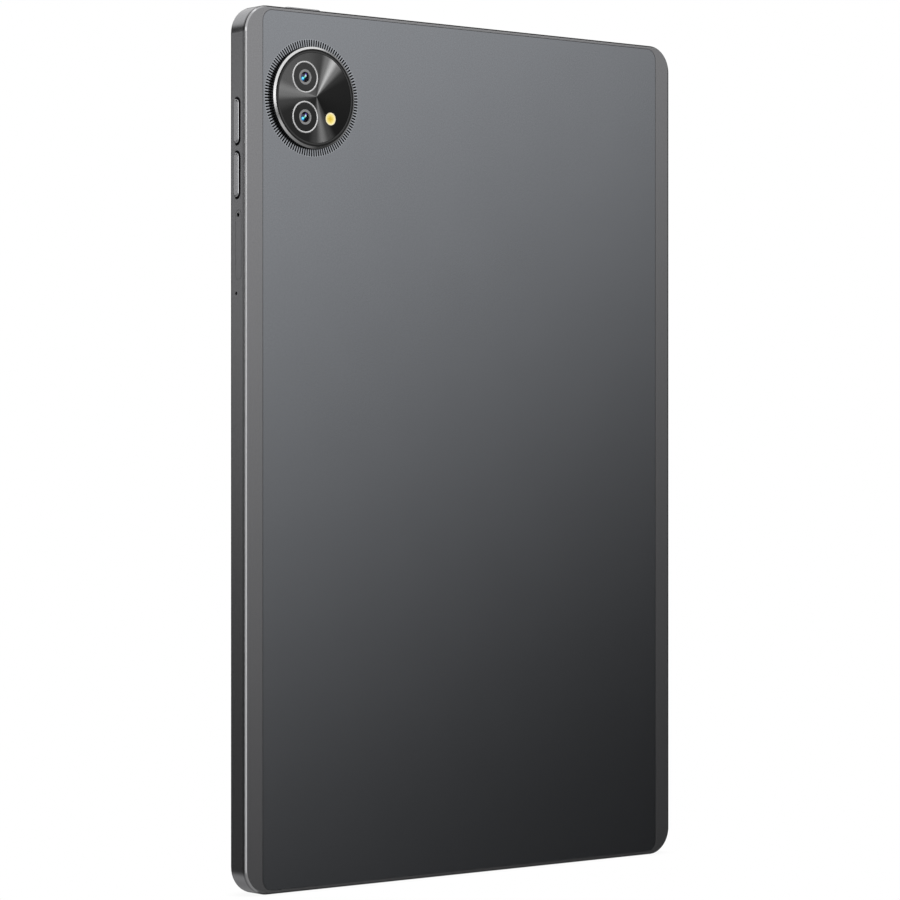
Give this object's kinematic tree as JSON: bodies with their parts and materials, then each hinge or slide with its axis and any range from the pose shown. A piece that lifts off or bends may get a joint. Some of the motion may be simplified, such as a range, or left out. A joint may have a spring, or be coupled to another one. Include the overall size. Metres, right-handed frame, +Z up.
{
  "type": "tablet computer",
  "caption": "Slim slab tablet with a banded side frame, an inset back panel, a knurled round camera island, spring keys and a sliding card tray.",
  "frame": {"origin": "centre of the bottom edge's face, the edge with the USB-C port, where the upright tablet stands", "axes": "+Z up the long side to the edge with the power button, -Y out of the screen, +Y out of the back, +X to the side with the volume keys and the card tray"},
  "size_m": [0.1669, 0.0095, 0.2557],
  "materials": {
    "frame_satin": "satin metallic",
    "panel_satin": "fine blasted, anodised",
    "trim_metal": "satin",
    "bezel_metal": "turned, polished edge",
    "disc_metal": "spun",
    "ring_metal": "polished",
    "lens_cover": "clear with dark border",
    "camera_body": "matte",
    "camera_lens": "coated",
    "flash_lens": "frosted",
    "flash_led": "gloss",
    "key_satin": "satin metallic",
    "screen_glass": "polished, black border",
    "display_film": "gloss",
    "backlight": "white film in a thin tray",
    "clear_adhesive": "clear",
    "black_adhesive": "matte",
    "steel_sheet": "sheet",
    "plate_metal": "cast",
    "spring_steel": "bright",
    "screw_steel": "blackened",
    "cell_pouch": "wrapped foil",
    "white_tape": "matte",
    "board_green": "solder mask",
    "board_black": "solder mask",
    "graphite": "matte",
    "flex_film": "amber film",
    "switch_body": "matte",
    "speaker_body": "matte",
    "mesh_fabric": "woven",
    "rubber_black": "matte",
    "cable_jacket": "matte",
    "tray_metal": "satin metallic"
  },
  "bodies": {
    "tablet": {"side_frame": "frame_satin", "back_panel": "panel_satin", "panel_adhesive": "black_adhesive", "front_glass": "screen_glass", "display_adhesive": "black_adhesive", "optical_adhesive": "clear_adhesive", "lcd_panel": "display_film", "backlight_unit": "backlight", "mid_plate": "plate_metal", "camera_trim_ring": "trim_metal", "camera_island_bezel": "bezel_metal", "camera_deco_disc": "disc_metal", "upper_lens_ring": "ring_metal", "lower_lens_ring": "ring_metal", "upper_lens_cover": "lens_cover", "lower_lens_cover": "lens_cover", "upper_camera_module": "camera_body", "lower_camera_module": "camera_body", "upper_camera_lens": "camera_lens", "lower_camera_lens": "camera_lens", "flash_lens": "flash_lens", "flash_led": "flash_led", "side_key_switches": "switch_body", "side_key_flex": "flex_film", "side_key_bracket": "steel_sheet", "power_key_switch": "switch_body", "power_key_flex": "flex_film", "sim_card_reader": "steel_sheet", "battery_cell_left": "cell_pouch", "battery_cell_right": "cell_pouch", "battery_tape": "white_tape", "battery_board": "board_black", "main_board": "board_green", "processor_shield": "steel_sheet", "power_shield": "steel_sheet", "graphite_sheet": "graphite", "usb_board": "board_green", "usb_c_port": "spring_steel", "main_flex": "flex_film", "display_flex": "flex_film", "board_screws": "screw_steel", "plate_screws": "screw_steel", "speaker_top_left": "speaker_body", "speaker_top_right": "speaker_body", "speaker_bottom_left": "speaker_body", "speaker_bottom_right": "speaker_body", "speaker_meshes": "mesh_fabric", "microphone": "spring_steel", "microphone_gasket": "rubber_black", "front_camera": "camera_body", "front_camera_lens": "camera_lens", "wireless_antenna": "speaker_body", "mobile_antenna": "speaker_body", "antenna_cable": "cable_jacket"},
    "volume_up": {"volume_up_button": "key_satin"},
    "volume_down": {"volume_down_button": "key_satin"},
    "power_key": {"power_button": "key_satin"},
    "card_tray": {"sim_tray": "tray_metal"},
    "eject_rod": {"sim_eject_rod": "spring_steel"},
    "eject_lever": {"sim_eject_lever": "spring_steel"}
  },
  "joints": [
    {"name": "volume_up_press", "type": "slide", "parent": "tablet", "child": "volume_up", "axis": [-1, 0, 0], "range_m": [0, 0.00035], "stiffness_N_per_m": 1500},
    {"name": "volume_down_press", "type": "slide", "parent": "tablet", "child": "volume_down", "axis": [-1, 0, 0], "range_m": [0, 0.00035], "stiffness_N_per_m": 1500},
    {"name": "power_press", "type": "slide", "parent": "tablet", "child": "power_key", "axis": [0, 0, -1], "range_m": [0, 0.00035], "stiffness_N_per_m": 1500},
    {"name": "tray_slide", "type": "slide", "parent": "tablet", "child": "card_tray", "axis": [1, 0, 0], "range_m": [0, 0.0285]},
    {"name": "eject_push", "type": "slide", "parent": "tablet", "child": "eject_rod", "axis": [-1, 0, 0], "range_m": [0, 0.001]},
    {"name": "eject_lever_turn", "type": "hinge", "parent": "tablet", "child": "eject_lever", "pos_m": [0.052, 0.00045, 0.1905], "axis": [0, -1, 0], "range_deg": [0, 14.5]}
  ],
  "couplings": [
    {"joint": "eject_lever_turn", "follows": "eject_push", "rad_per_m": 250}
  ]
}
